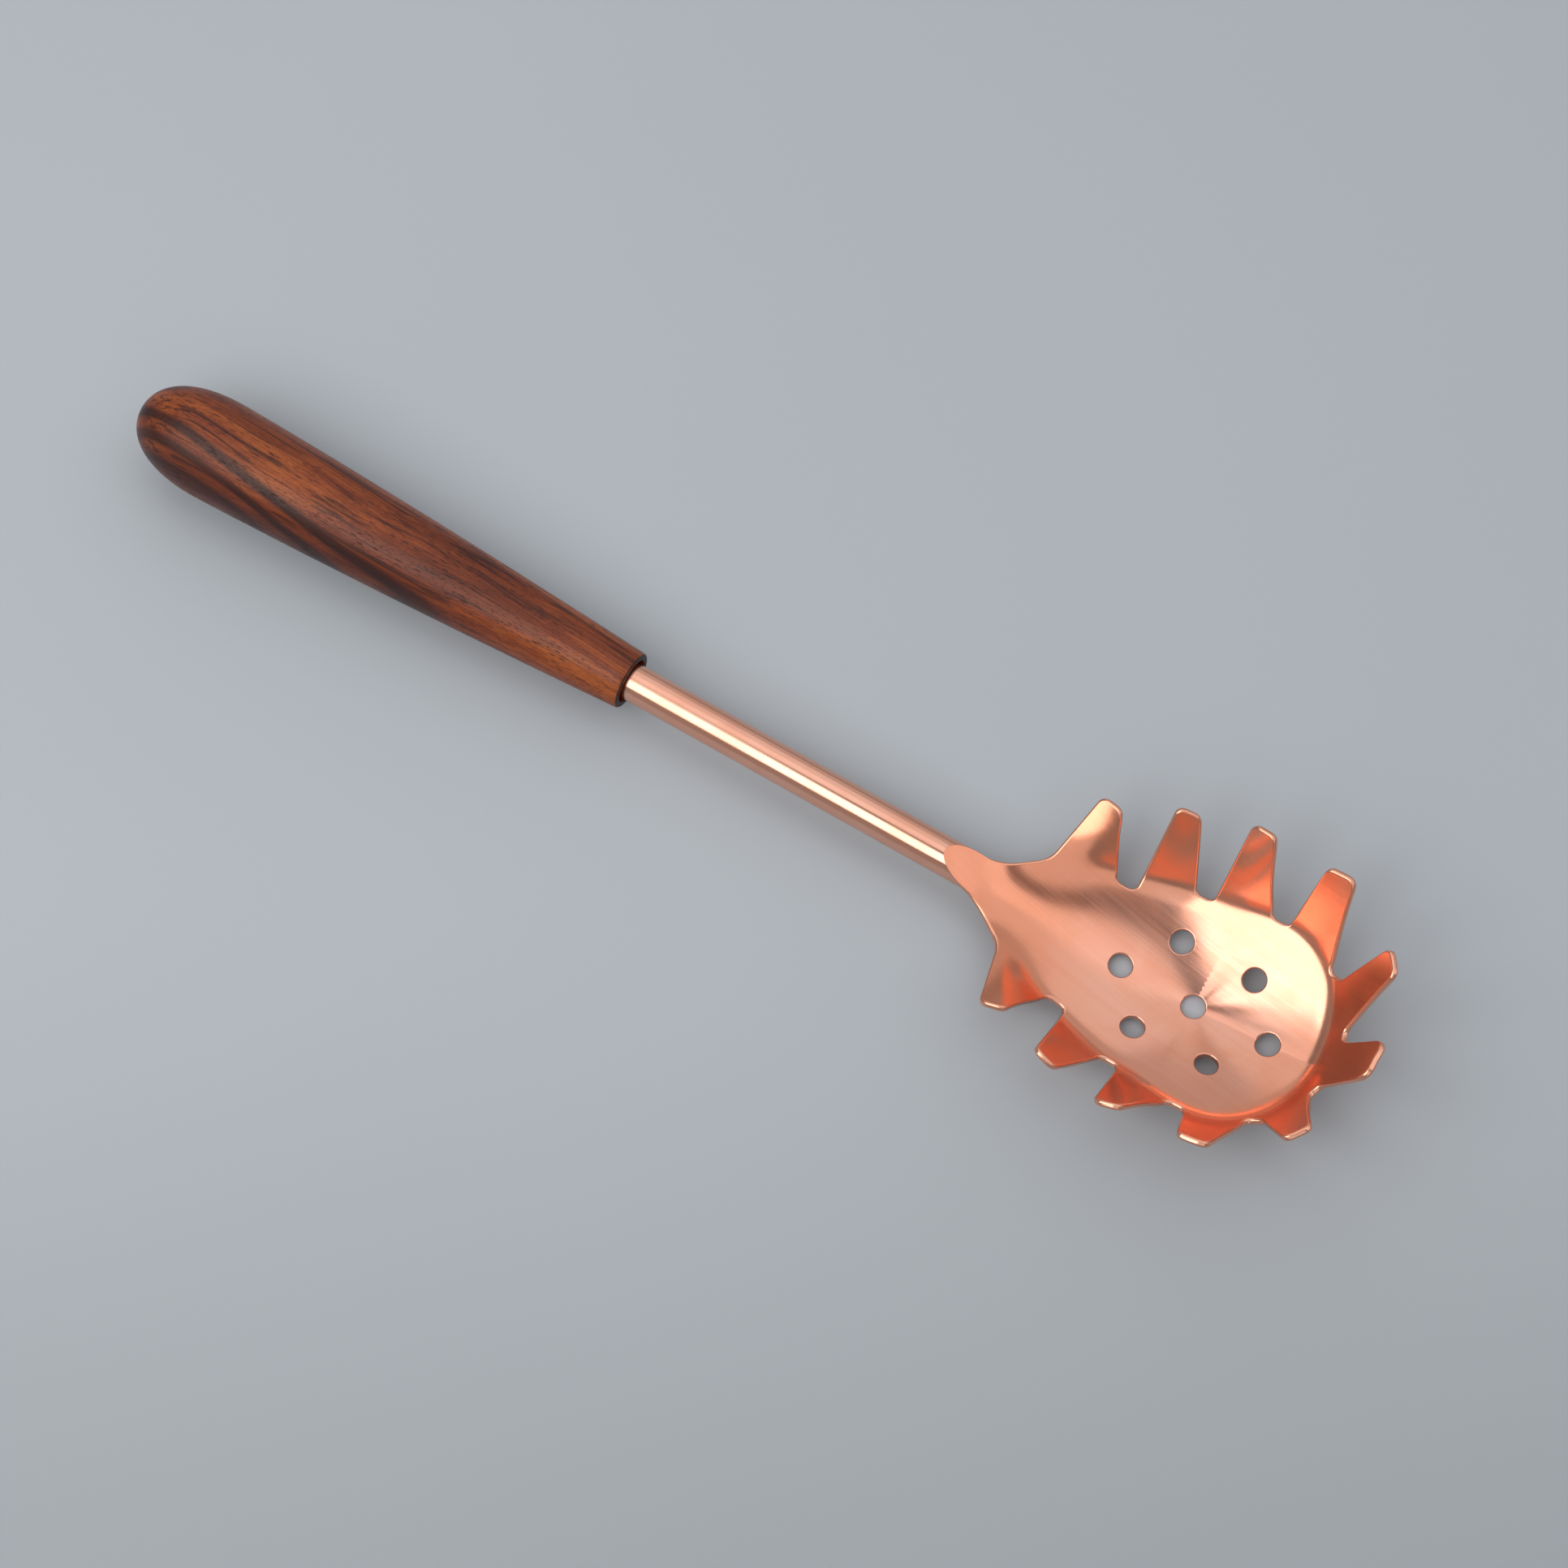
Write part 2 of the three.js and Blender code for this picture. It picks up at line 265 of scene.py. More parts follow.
# the brushed sheet reads its own place on the flat blank, kept as an attribute
def copperSheetMaterial():
    material, tree, shader = newMaterial("copperSheet", Metallic=1.0)
    blank = addNode(tree, "ShaderNodeAttribute", attribute_name="blankPlace").outputs["Vector"]
    rim = addNode(tree, "ShaderNodeAttribute", attribute_name="rim").outputs["Fac"]
    turned = addNode(
        tree, "ShaderNodeMapping", {"Vector": blank, "Rotation": (0, 0, copper["brushTurn"])}
    ).outputs[0]
    brushed = placeGroup(tree, brushedLines, {"Place": turned, "Spacing": 0.34, "Length": 26.0})
    marks = placeGroup(tree, handlingMarks, {"Place": blank, "Size": 16.0, "Scratch Amount": 0.5})
    tone = mathOf(tree, "MULTIPLY", marks["Haze"], 0.45)
    tone = mathOf(tree, "MULTIPLY_ADD", brushed["Streaks"], 0.3, tone)
    colour = mixColour(tree, tone, copper["colour"], copper["deepColour"])
    fromMiddle = addNode(
        tree, "ShaderNodeVectorMath", {0: blank, 1: (0.8, 1, 0)}, operation="MULTIPLY"
    ).outputs[0]
    fromMiddle = addNode(
        tree, "ShaderNodeVectorMath", {0: fromMiddle}, operation="LENGTH"
    ).outputs["Value"]
    # painted reflection: the tines are painted a deeper red, standing in for copper reflected between them
    paintedTineReflection = remap(tree, fromMiddle, *copper["tineReflectionReach"])
    paintedTineReflection = mathOf(tree, "MULTIPLY", paintedTineReflection, copper["tineReflectionShare"])
    colour = mixColour(tree, paintedTineReflection, colour, copper["tineReflectionColour"])
    # painted highlight: the rounded rims are painted lighter, where the lamps glint on them
    paintedRimHighlight = mathOf(tree, "MULTIPLY", rim, copper["rimHighlightShare"])
    colour = mixColour(tree, paintedRimHighlight, colour, copper["rimHighlightColour"])
    tree.links.new(colour, shader.inputs["Base Color"])
    rough = mathOf(tree, "MULTIPLY_ADD", brushed["Lines"], 0.05, 0.16)
    rough = mathOf(tree, "MULTIPLY_ADD", marks["Haze"], 0.05, rough)
    rough = mathOf(tree, "MULTIPLY_ADD", marks["Scratches"], 0.12, rough)
    tree.links.new(rough, shader.inputs["Roughness"])
    height = mathOf(tree, "MULTIPLY_ADD", brushed["Streaks"], 0.6, brushed["Lines"])
    height = mathOf(tree, "MULTIPLY_ADD", marks["Scratches"], -0.8, height)
    bump = {"Height": height, "Strength": 0.25, "Distance": 0.005 * mm}
    bump = addNode(tree, "ShaderNodeBump", bump)
    tree.links.new(bump.outputs["Normal"], shader.inputs["Normal"])
    return material


def copperTubeMaterial():
    material, tree, shader = newMaterial("copperTube", Metallic=1.0)
    place = ownPlace(tree, shaftMatrix.to_translation(), (0, -shaftTilt, 0))
    brushed = placeGroup(tree, brushedLines, {"Place": place, "Spacing": 0.22, "Length": 60.0})
    marks = placeGroup(tree, handlingMarks, {"Place": place, "Size": 9.0, "Scratch Amount": 0.35})
    tone = mathOf(tree, "MULTIPLY", marks["Haze"], 0.3)
    colour = mixColour(tree, tone, copper["tubeColour"], copper["deepColour"])
    tree.links.new(colour, shader.inputs["Base Color"])
    rough = mathOf(tree, "MULTIPLY_ADD", brushed["Lines"], 0.04, 0.15)
    rough = mathOf(tree, "MULTIPLY_ADD", marks["Haze"], 0.04, rough)
    rough = mathOf(tree, "MULTIPLY_ADD", marks["Scratches"], 0.1, rough)
    tree.links.new(rough, shader.inputs["Roughness"])
    height = mathOf(tree, "MULTIPLY_ADD", marks["Scratches"], -0.8, brushed["Lines"])
    bump = addNode(
        tree, "ShaderNodeBump", {"Height": height, "Strength": 0.2, "Distance": 0.003 * mm}
    )
    tree.links.new(bump.outputs["Normal"], shader.inputs["Normal"])
    return material


def copperBrazeMaterial():
    material, tree, shader = newMaterial("copperBraze", Metallic=1.0)
    place = ownPlace(tree, (bowlX, 0, 0), (0, 0, 0.6))
    brushed = placeGroup(tree, brushedLines, {"Place": place, "Spacing": 0.4, "Length": 3.0})
    marks = placeGroup(tree, handlingMarks, {"Place": place, "Size": 2.5, "Scratch Amount": 0.6})
    colour = mixColour(tree, marks["Haze"], copper["brazeColour"], copper["deepColour"])
    tree.links.new(colour, shader.inputs["Base Color"])
    rough = mathOf(tree, "MULTIPLY_ADD", brushed["Lines"], 0.15, 0.28)
    tree.links.new(rough, shader.inputs["Roughness"])
    height = mathOf(tree, "ADD", brushed["Lines"], marks["Haze"])
    bump = addNode(
        tree, "ShaderNodeBump", {"Height": height, "Strength": 0.5, "Distance": 0.04 * mm}
    )
    tree.links.new(bump.outputs["Normal"], shader.inputs["Normal"])
    return material


# wood and resin

wood = {
    "dark": (0.018, 0.006, 0.006),
    "brown": (0.080, 0.015, 0.006),
    "red": (0.185, 0.037, 0.011),
    "orange": (0.360, 0.090, 0.021),
    # darker end grain together with painted shade on the mouth's end face
    "endGrainAndShade": (0.012, 0.008, 0.008),
    "grainTurn": math.radians(1),
    "bandTurn": math.radians(4),
    "bandRange": (-23.5, -12.0),  # where the heavy bands lie across the handle
    "bandSide": (1.0, -3.0),  # and where they set in
    "sapwoodRange": (-75.0, -8.0),  # towards the mouth the same side is clearer and more orange
    "paleMouthSideLift": 0.12,
    "paleMouthSideClear": 0.6,
    "poreDepth": 0.75,
    "finePoreDepth": 0.7,
    # along that range: a place from 0 to 1 and how dark it is there
    "bands": (
        (0.0, 0.5), (0.12, 0.9), (0.2, 0.2), (0.29, 0.15), (0.35, 0.95), (0.44, 0.8),
        (0.49, 0.1), (0.6, 0.1), (0.66, 0.95), (0.78, 0.9), (0.86, 0.15), (1.0, 0.0),
    ),
}


def setStops(ramp, stops):
    elements = ramp.color_ramp.elements
    while len(elements) < len(stops):
        elements.new(0.5)
    for element, (position, colour) in zip(elements, stops):
        element.position = position
        element.color = (*colour, 1)


def handleWoodMaterial():
    material, tree, shader = newMaterial("handleWood", Specular_IOR_Level=0.28)
    place = ownPlace(tree, shaftMatrix.to_translation(), (0, -shaftTilt, wood["grainTurn"]))

    def stretched(source, stretch, shift=(0, 0, 0)):
        return addNode(
            tree, "ShaderNodeMapping", {"Vector": source, "Scale": stretch, "Location": shift}
        ).outputs[0]

    def noise(vector, **values):
        values = {name.replace("_", " "): value for name, value in values.items()}
        return addNode(tree, "ShaderNodeTexNoise", {"Vector": vector, **values}).outputs["Fac"]

    # the growth layers wander a little along the handle
    wander = addNode(
        tree,
        "ShaderNodeTexNoise",
        {"Vector": stretched(place, (0.016, 0.05, 0.05)), "Scale": 1.0, "Detail": 1.0},
    ).outputs["Color"]
    wander = addNode(
        tree, "ShaderNodeVectorMath", {0: wander, 1: (0.5, 0.5, 0.5)}, operation="SUBTRACT"
    ).outputs[0]
    wander = addNode(
        tree, "ShaderNodeVectorMath", {0: wander, 1: (0, 6, 6)}, operation="MULTIPLY"
    ).outputs[0]
    grain = addNode(tree, "ShaderNodeVectorMath", {0: place, 1: wander}, operation="ADD").outputs[0]
    broad = noise(stretched(grain, (0.006, 0.16, 0.16)), Scale=1.0, Detail=2.0)
    bands = noise(stretched(grain, (0.016, 0.9, 0.7), (3, 9, 1)), Scale=1.0, Detail=4.0)
    fine = noise(stretched(grain, (0.03, 2.2, 2.2)), Scale=1.0, Detail=4.0)
    where = addNode(tree, "ShaderNodeSeparateXYZ", {"Vector": place}).outputs
    streaky = remap(tree, where["Y"], *wood["bandSide"])
    # the -Y side is made lighter and more orange towards the mouth, with fewer dark bands
    sapwood = mathOf(tree, "MULTIPLY", remap(tree, where["X"], *wood["sapwoodRange"]), streaky)

    tone = mathOf(tree, "MULTIPLY_ADD", fine, 0.35, mathOf(tree, "MULTIPLY", broad, 0.65))
    tone = mathOf(tree, "MULTIPLY_ADD", sapwood, wood["paleMouthSideLift"], tone)
    ramp = addNode(tree, "ShaderNodeValToRGB", {"Fac": tone})
    stops = ((0.36, wood["brown"]), (0.5, wood["red"]), (0.66, wood["orange"]))
    setStops(ramp, stops)
    fineBands = mathOf(tree, "MULTIPLY", remap(tree, bands, 0.52, 0.64), 0.7)
    clear = mathOf(tree, "MULTIPLY_ADD", sapwood, -wood["paleMouthSideClear"], 1.0)

    # on one side a few heavy dark bands run out at the edge, a little off the axis
    steep = addNode(
        tree, "ShaderNodeMapping", {"Vector": grain, "Rotation": (0, 0, wood["bandTurn"])}
    ).outputs[0]
    steepSide = addNode(tree, "ShaderNodeSeparateXYZ", {"Vector": steep}).outputs["Y"]
    low, high = wood["bandRange"]
    heavy = addNode(
        tree, "ShaderNodeValToRGB", {"Fac": remap(tree, steepSide, low, high, smooth=False)}
    )
    setStops(heavy, [(position, (depth, depth, depth)) for position, depth in wood["bands"]])
    heavyBands = mathOf(tree, "MULTIPLY", heavy.outputs["Color"], streaky)
    heavyBands = mathOf(tree, "MULTIPLY", heavyBands, remap(tree, fine, 0.25, 0.6, 0.7, 1.0))
    darkBands = mathOf(tree, "MAXIMUM", fineBands, heavyBands)
    darkBands = mathOf(tree, "MULTIPLY", darkBands, clear)
    colour = mixColour(tree, darkBands, ramp.outputs["Color"], wood["dark"])

    # open pores: short dark dashes along the grain, in patches, and finer ones all over
    def dashes(stretch, shift, low, high):
        cells = {"Vector": stretched(place, stretch, shift), "Scale": 1.0}
        cells = addNode(tree, "ShaderNodeTexVoronoi", cells, feature="F1").outputs["Distance"]
        return remap(tree, cells, low, high, 1.0, 0.0)

    pores = dashes((0.22, 1.5, 1.5), (0, 0, 0), 0.16, 0.3)
    patches = noise(stretched(place, (0.05, 0.2, 0.2), (7, 0, 0)), Scale=1.0, Detail=2.0)
    pores = mathOf(tree, "MULTIPLY", pores, remap(tree, patches, 0.42, 0.58))
    finePores = dashes((0.5, 3.4, 3.4), (0, 5, 2), 0.18, 0.36)
    finePores = mathOf(tree, "MULTIPLY", finePores, wood["finePoreDepth"])
    pores = mathOf(tree, "MAXIMUM", pores, finePores)
    poreShade = mathOf(tree, "MULTIPLY", pores, wood["poreDepth"])
    colour = mixColour(tree, poreShade, colour, wood["dark"])

    # the cut end face at the mouth is painted near black by its facing: partly its darker end grain,
    # partly painted shade, as it faces away from the key light
    facing = addNode(tree, "ShaderNodeTexCoord").outputs["Normal"]
    facing = addNode(tree, "ShaderNodeSeparateXYZ", {"Vector": facing}).outputs["X"]
    endGrainAndShade = remap(tree, facing, 0.55, 0.9)
    colour = mixColour(tree, endGrainAndShade, colour, wood["endGrainAndShade"])
    tree.links.new(colour, shader.inputs["Base Color"])

    marks = placeGroup(tree, handlingMarks, {"Place": place, "Size": 18.0, "Scratch Amount": 0.2})
    rough = mathOf(tree, "MULTIPLY_ADD", fine, 0.12, 0.27)
    rough = mathOf(tree, "MULTIPLY_ADD", marks["Haze"], 0.06, rough)
    rough = mathOf(tree, "MULTIPLY_ADD", pores, 0.25, rough)
    tree.links.new(rough, shader.inputs["Roughness"])
    height = mathOf(tree, "MULTIPLY_ADD", pores, -1.0, mathOf(tree, "MULTIPLY", fine, 0.35))
    bump = addNode(
        tree, "ShaderNodeBump", {"Height": height, "Strength": 0.5, "Distance": 0.06 * mm}
    )
    tree.links.new(bump.outputs["Normal"], shader.inputs["Normal"])
    return material


resinColours = {"clear": (0.42, 0.30, 0.13), "cloudy": (0.24, 0.15, 0.06)}


def resinMaterial():
    material, tree, shader = newMaterial("resin", IOR=1.55)
    place = ownPlace(tree, shaftMatrix.to_translation(), (0, -shaftTilt, 0))
    marks = placeGroup(tree, handlingMarks, {"Place": place, "Size": 3.0, "Scratch Amount": 0.1})
    colour = mixColour(tree, marks["Haze"], resinColours["clear"], resinColours["cloudy"])
    tree.links.new(colour, shader.inputs["Base Color"])
    rough = mathOf(tree, "MULTIPLY_ADD", marks["Haze"], 0.2, 0.2)
    tree.links.new(rough, shader.inputs["Roughness"])
    bump = addNode(
        tree, "ShaderNodeBump", {"Height": marks["Haze"], "Strength": 0.4, "Distance": 0.1 * mm}
    )
    tree.links.new(bump.outputs["Normal"], shader.inputs["Normal"])
    return material


copperSheet = copperSheetMaterial()
copperTube = copperTubeMaterial()
copperBraze = copperBrazeMaterial()
handleWood = handleWoodMaterial()
resin = resinMaterial()
print("materials made")


# the head: a flat blank and the press that forms it

head = {
    "thickness": 1.6,
    "restCut": 0.3,  # dressed off the underside, so that it rests on a small flat
    "holeRadius": 2.9,
    "holePitch": 19.7,
    "holeAcross": 0.725,
    "rimRounding": 0.62,
    "holeRounding": 0.38,
    "tongueRounding": 0.05,
    "tongueBlend": (-62.0, -56.0),  # where the rounding grows from the tongue's to the rim's
    "rimStep": 0.4,  # between points of the outline
    "holeStep": 0.3,
    "faceStep": 0.75,  # between points inside the outline
    "roundingRings": 5,
    "cornerSteps": 12,
    "tongueSteps": 18,
    "rimClearance": 0.55,  # share of a face step kept free inside the rim
}
press = {
    "neckFloorSlope": 12.5,
    "spineExponent": 0.8,
    "crease": -54.6,
    "creaseWidth": 6.0,
    "neckSlope": 28.0,
    "wallBendWidth": 9.0,
    "frontTurn": 0.5,
    "steps": 48,
}
# cross sections: the station along the spine, the slope where the floor ends, the power
# by which it gets there, the slope of the tines, and how far the floor reaches
sections = {
    "station": [-60.6, -52.6, -43.6, -30.6, -14.6, 1.4, 19.4, 45.4],
    "floorSlope": [0, 27, 28, 21, 20, 24, 22.5, 16],
    "power": [0.8, 0.8, 0.75, 0.8, 0.7, 0.3, 0.25, 0.7],
    "wallSlope": [0, 15, 30, 52, 49, 60, 62, 69],
    "reach": [14, 13.5, 14, 19, 23, 27, 32, 32],
}
# half of the blank's outline as corners: x, y and the radius that rounds them
outlineCorners = [
    (-59.5, 5, 8),
    (-54.6, 7, 14),  # neck
    (-46.7, 12.8, 8),
    (-42.6, 33, 3),  # tine 1
    (-36.4, 33.2, 2.6),
    (-30.5, 16.9, 2.2),
    (-25.4, 17.2, 2),
    (-24.9, 42.9, 2.6),  # tine 2
    (-19, 42.9, 2.6),
    (-12.6, 24, 2.2),
    (-7.9, 24.2, 2),
    (-7.8, 48.7, 2.6),  # tine 3
    (-1.5, 49.2, 2.6),
    (6.5, 27.4, 2.4),
    (11.2, 27.3, 2.2),
    (16.5, 48.2, 3),  # tine 4
    (26.4, 47.8, 3.6),
    (25.1, 21.5, 2.8),
    (29.6, 21.1, 2.2),
    (44.9, 34.7, 3.2),  # tine 5
    (50.7, 27.6, 3.6),
    (37.4, 9.5, 2.2),
    (39.5, 6.8, 2),
    (60.8, 7.3, 5),  # half of tine 6
]
tube = {
    "radius": 4.75,
    "wall": 1.0,
    "insertion": 62.0,
    "sides": 144,
    "rings": 24,
    "seam": 0.02,  # gap between the tongue and the tube's outside
    "underSheet": 0.2,  # the inner wall ends this far under the sheet
    "lipWidth": 0.3,  # least width of the slanted end
    "plainEnd": 1.0,  # the last plain ring stays this far behind the slanted end
    # cosines, from the top of the tube, between which the end drops from the tongue's
    # face to the middle of the sheet
    "lipDrop": (0.15, -0.15),
}


# smooth interpolation of one value of the cross sections
def sectionValue(name, station):
    stations = np.array(sections["station"], float)
    values = np.array(sections[name], float)
    slopes = np.empty_like(values)
    slopes[1:-1] = (values[2:] - values[:-2]) / (stations[2:] - stations[:-2])
    slopes[0] = (values[1] - values[0]) / (stations[1] - stations[0])
    slopes[-1] = (values[-1] - values[-2]) / (stations[-1] - stations[-2])
    x = np.clip(station, stations[0], stations[-1])
    i = np.clip(np.searchsorted(stations, x, side="left") - 1, 0, len(stations) - 2)
    span = stations[i + 1] - stations[i]
    t = (x - stations[i]) / span
    return (
        (1 + 2 * t) * (1 - t) ** 2 * values[i]
        + t * (1 - t) ** 2 * span * slopes[i]
        + t * t * (3 - 2 * t) * values[i + 1]
        + t * t * (t - 1) * span * slopes[i + 1]
    )


# follows a slope over a distance: how far it gets and how high
def follow(slopeAt, distance):
    steps = (np.arange(press["steps"]) + 0.5) / press["steps"]
    slope = slopeAt(distance[:, None] * steps)
    return np.cos(slope).mean(1) * distance, np.sin(slope).mean(1) * distance


def spineSlope(distance):
    share = np.clip(-distance / press["crease"], 0, 1)
    width = press["creaseWidth"]
    pastCrease = (distance + press["crease"] + width / 2) / width
    toNeck = (press["neckSlope"] - press["neckFloorSlope"]) * smoothStep(pastCrease)
    return np.radians(press["neckFloorSlope"] * share ** press["spineExponent"] + toNeck)


# where the press takes points of the blank's inner face
def pressed(points):
    x, y = points[:, 0], points[:, 1]
    inFront = x > 0
    distance = np.where(inFront, np.hypot(x, y), np.abs(y))
    turned = 90 - np.degrees(np.arctan2(np.abs(y), x))
    station = np.where(inFront, turned * press["frontTurn"], x)
    reach = sectionValue("reach", station)
    floorEnd = sectionValue("floorSlope", station)
    wallEnd = sectionValue("wallSlope", station)
    power = sectionValue("power", station)[:, None]

    def wallSlope(d):
        rise = np.minimum(d / reach[:, None], 1) ** power
        width = press["wallBendWidth"]
        bend = smoothStep((d - reach[:, None] + width / 2) / width)
        return np.radians(floorEnd[:, None] * rise + (wallEnd - floorEnd)[:, None] * bend)

    spineAlong, spineUp = follow(spineSlope, np.maximum(-x, 0))
    wallAlong, wallUp = follow(wallSlope, distance)
    reached = np.where(distance > 0, wallAlong / np.maximum(distance, 1e-9), 1)
    forward = np.where(inFront, x * reached, -spineAlong)
    lift = head["thickness"] - head["restCut"]
    return np.stack([forward, y * reached, spineUp + wallUp + lift], 1)


def unit(vectors):
    return vectors / np.linalg.norm(vectors, axis=1, keepdims=True)


# the pressed inner face with its normal and the two directions of the blank
def formed(points):
    nudge = 0.02  # millimetres to each side
    along = pressed(points + (nudge, 0)) - pressed(points - (nudge, 0))
    across = pressed(points + (0, nudge)) - pressed(points - (0, nudge))
    return pressed(points), unit(np.cross(along, across)), unit(along), unit(across)


# the plane of the neck's upper face in the shaft's own millimetres
facetStart = press["crease"] - press["creaseWidth"]
facetPoint = pressed(np.array([[facetStart, 0.0]]))[0]
facetPoint = shaftMatrix.inverted() @ (bowlMatrix @ Vector(facetPoint))
facetSlope = math.radians(press["neckSlope"]) - shaftTilt
facetNormal = Vector((math.sin(facetSlope), 0, math.cos(facetSlope)))

# the tongue's outline follows the slanted cut through the tube: half an ellipse about
# the place where the plane crosses the shaft's axis
tongueLength = tube["radius"] / math.sin(facetSlope)
tongueMiddle = facetStart + facetPoint.z / math.sin(facetSlope)


def fullOutline():
    half = []
    for turn in np.linspace(math.pi, 0.6 * math.pi, head["tongueSteps"]):
        y = (tube["radius"] - tube["seam"]) * math.sin(turn)
        half.append((tongueMiddle + tongueLength * math.cos(turn), y, 0))
    half += outlineCorners
    mirrored = [(x, -y, radius) for x, y, radius in reversed(half[1:])]
    corners = mirrored + half  # runs clockwise from the front tine's right half
    points = []
    for i, (x, y, radius) in enumerate(corners):
        corner = np.array((x, y))
        back = np.array(corners[i - 1][:2]) - corner
        ahead = np.array(corners[(i + 1) % len(corners)][:2]) - corner
        backLength, aheadLength = np.linalg.norm(back), np.linalg.norm(ahead)
        if radius == 0:
            points.append(corner)
            continue
        cosine = back @ ahead / (backLength * aheadLength)
        halfAngle = math.acos(max(-1.0, min(1.0, cosine))) / 2
        cut = min(radius / math.tan(halfAngle), backLength / 2, aheadLength / 2)
        start = corner + back / backLength * cut
        end = corner + ahead / aheadLength * cut
        for t in np.linspace(0, 1, head["cornerSteps"]):
            points.append((1 - t) ** 2 * start + 2 * t * (1 - t) * corner + t * t * end)
    return np.array(points)


# spreads points evenly along a closed line
def evenly(points, step):
    closed = np.vstack([points, points[:1]])
    lengths = np.r_[0, np.cumsum(np.linalg.norm(np.diff(closed, axis=0), axis=1))]
    count = round(lengths[-1] / step)
    at = np.arange(count) * lengths[-1] / count
    return np.stack([np.interp(at, lengths, closed[:, 0]), np.interp(at, lengths, closed[:, 1])], 1)


def signedArea(ring):
    nextRing = np.roll(ring, -1, axis=0)
    return (ring[:, 0] * nextRing[:, 1] - ring[:, 1] * nextRing[:, 0]).sum() / 2


# the closed lines of the blank, each with its direction out of the metal and its rounding
def blankEdges():
    outline = evenly(fullOutline(), head["rimStep"])
    if signedArea(outline) < 0:
        outline = outline[::-1]
    tangent = unit(np.roll(outline, -1, axis=0) - np.roll(outline, 1, axis=0))
    outward = np.stack([tangent[:, 1], -tangent[:, 0]], 1)
    blendStart, blendEnd = head["tongueBlend"]
    share = smoothStep((outline[:, 0] - blendStart) / (blendEnd - blendStart))
    rounding = head["tongueRounding"] + (head["rimRounding"] - head["tongueRounding"]) * share
    edges = [(outline, outward, rounding)]
    pitch = head["holePitch"]
    centres = [(0, 0)]
    for i in range(6):
        turn = math.radians(60 * i)
        centres.append((pitch * math.cos(turn), pitch * head["holeAcross"] * math.sin(turn)))
    count = round(2 * math.pi * head["holeRadius"] / head["holeStep"])
    for centre in centres:
        turns = -np.arange(count) * 2 * math.pi / count  # the other way round than the outline
        radial = np.stack([np.cos(turns), np.sin(turns)], 1)
        ring = np.array(centre) + radial * head["holeRadius"]
        edges.append((ring, -radial, np.full(count, head["holeRounding"])))
    return edges


def insideOf(points, ring):
    inside = np.zeros(len(points), bool)
    for (x0, y0), (x1, y1) in zip(ring, np.roll(ring, -1, axis=0)):
        crosses = (y0 > points[:, 1]) != (y1 > points[:, 1])
        if y0 != y1:
            reach = x0 + (points[:, 1] - y0) * (x1 - x0) / (y1 - y0)
            inside ^= crosses & (points[:, 0] < reach)
    return inside


# fills the face between the rings with even triangles
def faceTriangles(rings):
    step = head["faceStep"]
    row = step * math.sqrt(3) / 2
    low, high = rings[0].min(0), rings[0].max(0)
    rows = int((high[1] - low[1]) / row) + 1
    columns = int((high[0] - low[0]) / step) + 1
    grid = np.array(
        [
            (low[0] + (j + 0.5 * (i % 2)) * step, low[1] + (i + 0.5) * row)
            for i in range(rows)
            for j in range(columns)
        ]
    )
    keep = insideOf(grid, rings[0])
    for hole in rings[1:]:
        keep &= ~insideOf(grid, hole)
    grid = grid[keep]
    rim = np.vstack(rings)
    tree = KDTree(len(rim))
    for i, (x, y) in enumerate(rim):
        tree.insert((x, y, 0), i)
    tree.balance()
    clear = [tree.find((x, y, 0))[2] > head["rimClearance"] * step for x, y in grid]
    grid = grid[np.array(clear)]
    points = np.vstack([rim, grid])
    edges, start = [], 0
    for ring in rings:
        count = len(ring)
        edges += [(start + i, start + (i + 1) % count) for i in range(count)]
        start += count
    found = delaunay_2d_cdt([Vector(p) for p in points], edges, [], 0, 1e-5)
    original = [ids[0] for ids in found[3]]
    triangles = np.array([[original[v] for v in face] for face in found[2]])
    middles = points[triangles].mean(1)
    keep = insideOf(middles, rings[0])
    for hole in rings[1:]:
        keep &= ~insideOf(middles, hole)
    triangles = triangles[keep]
    a, b, c = (points[triangles[:, k]] for k in range(3))
    turn = (b[:, 0] - a[:, 0]) * (c[:, 1] - a[:, 1]) - (b[:, 1] - a[:, 1]) * (c[:, 0] - a[:, 0])
    triangles[turn < 0] = triangles[turn < 0][:, ::-1]
    return grid, triangles


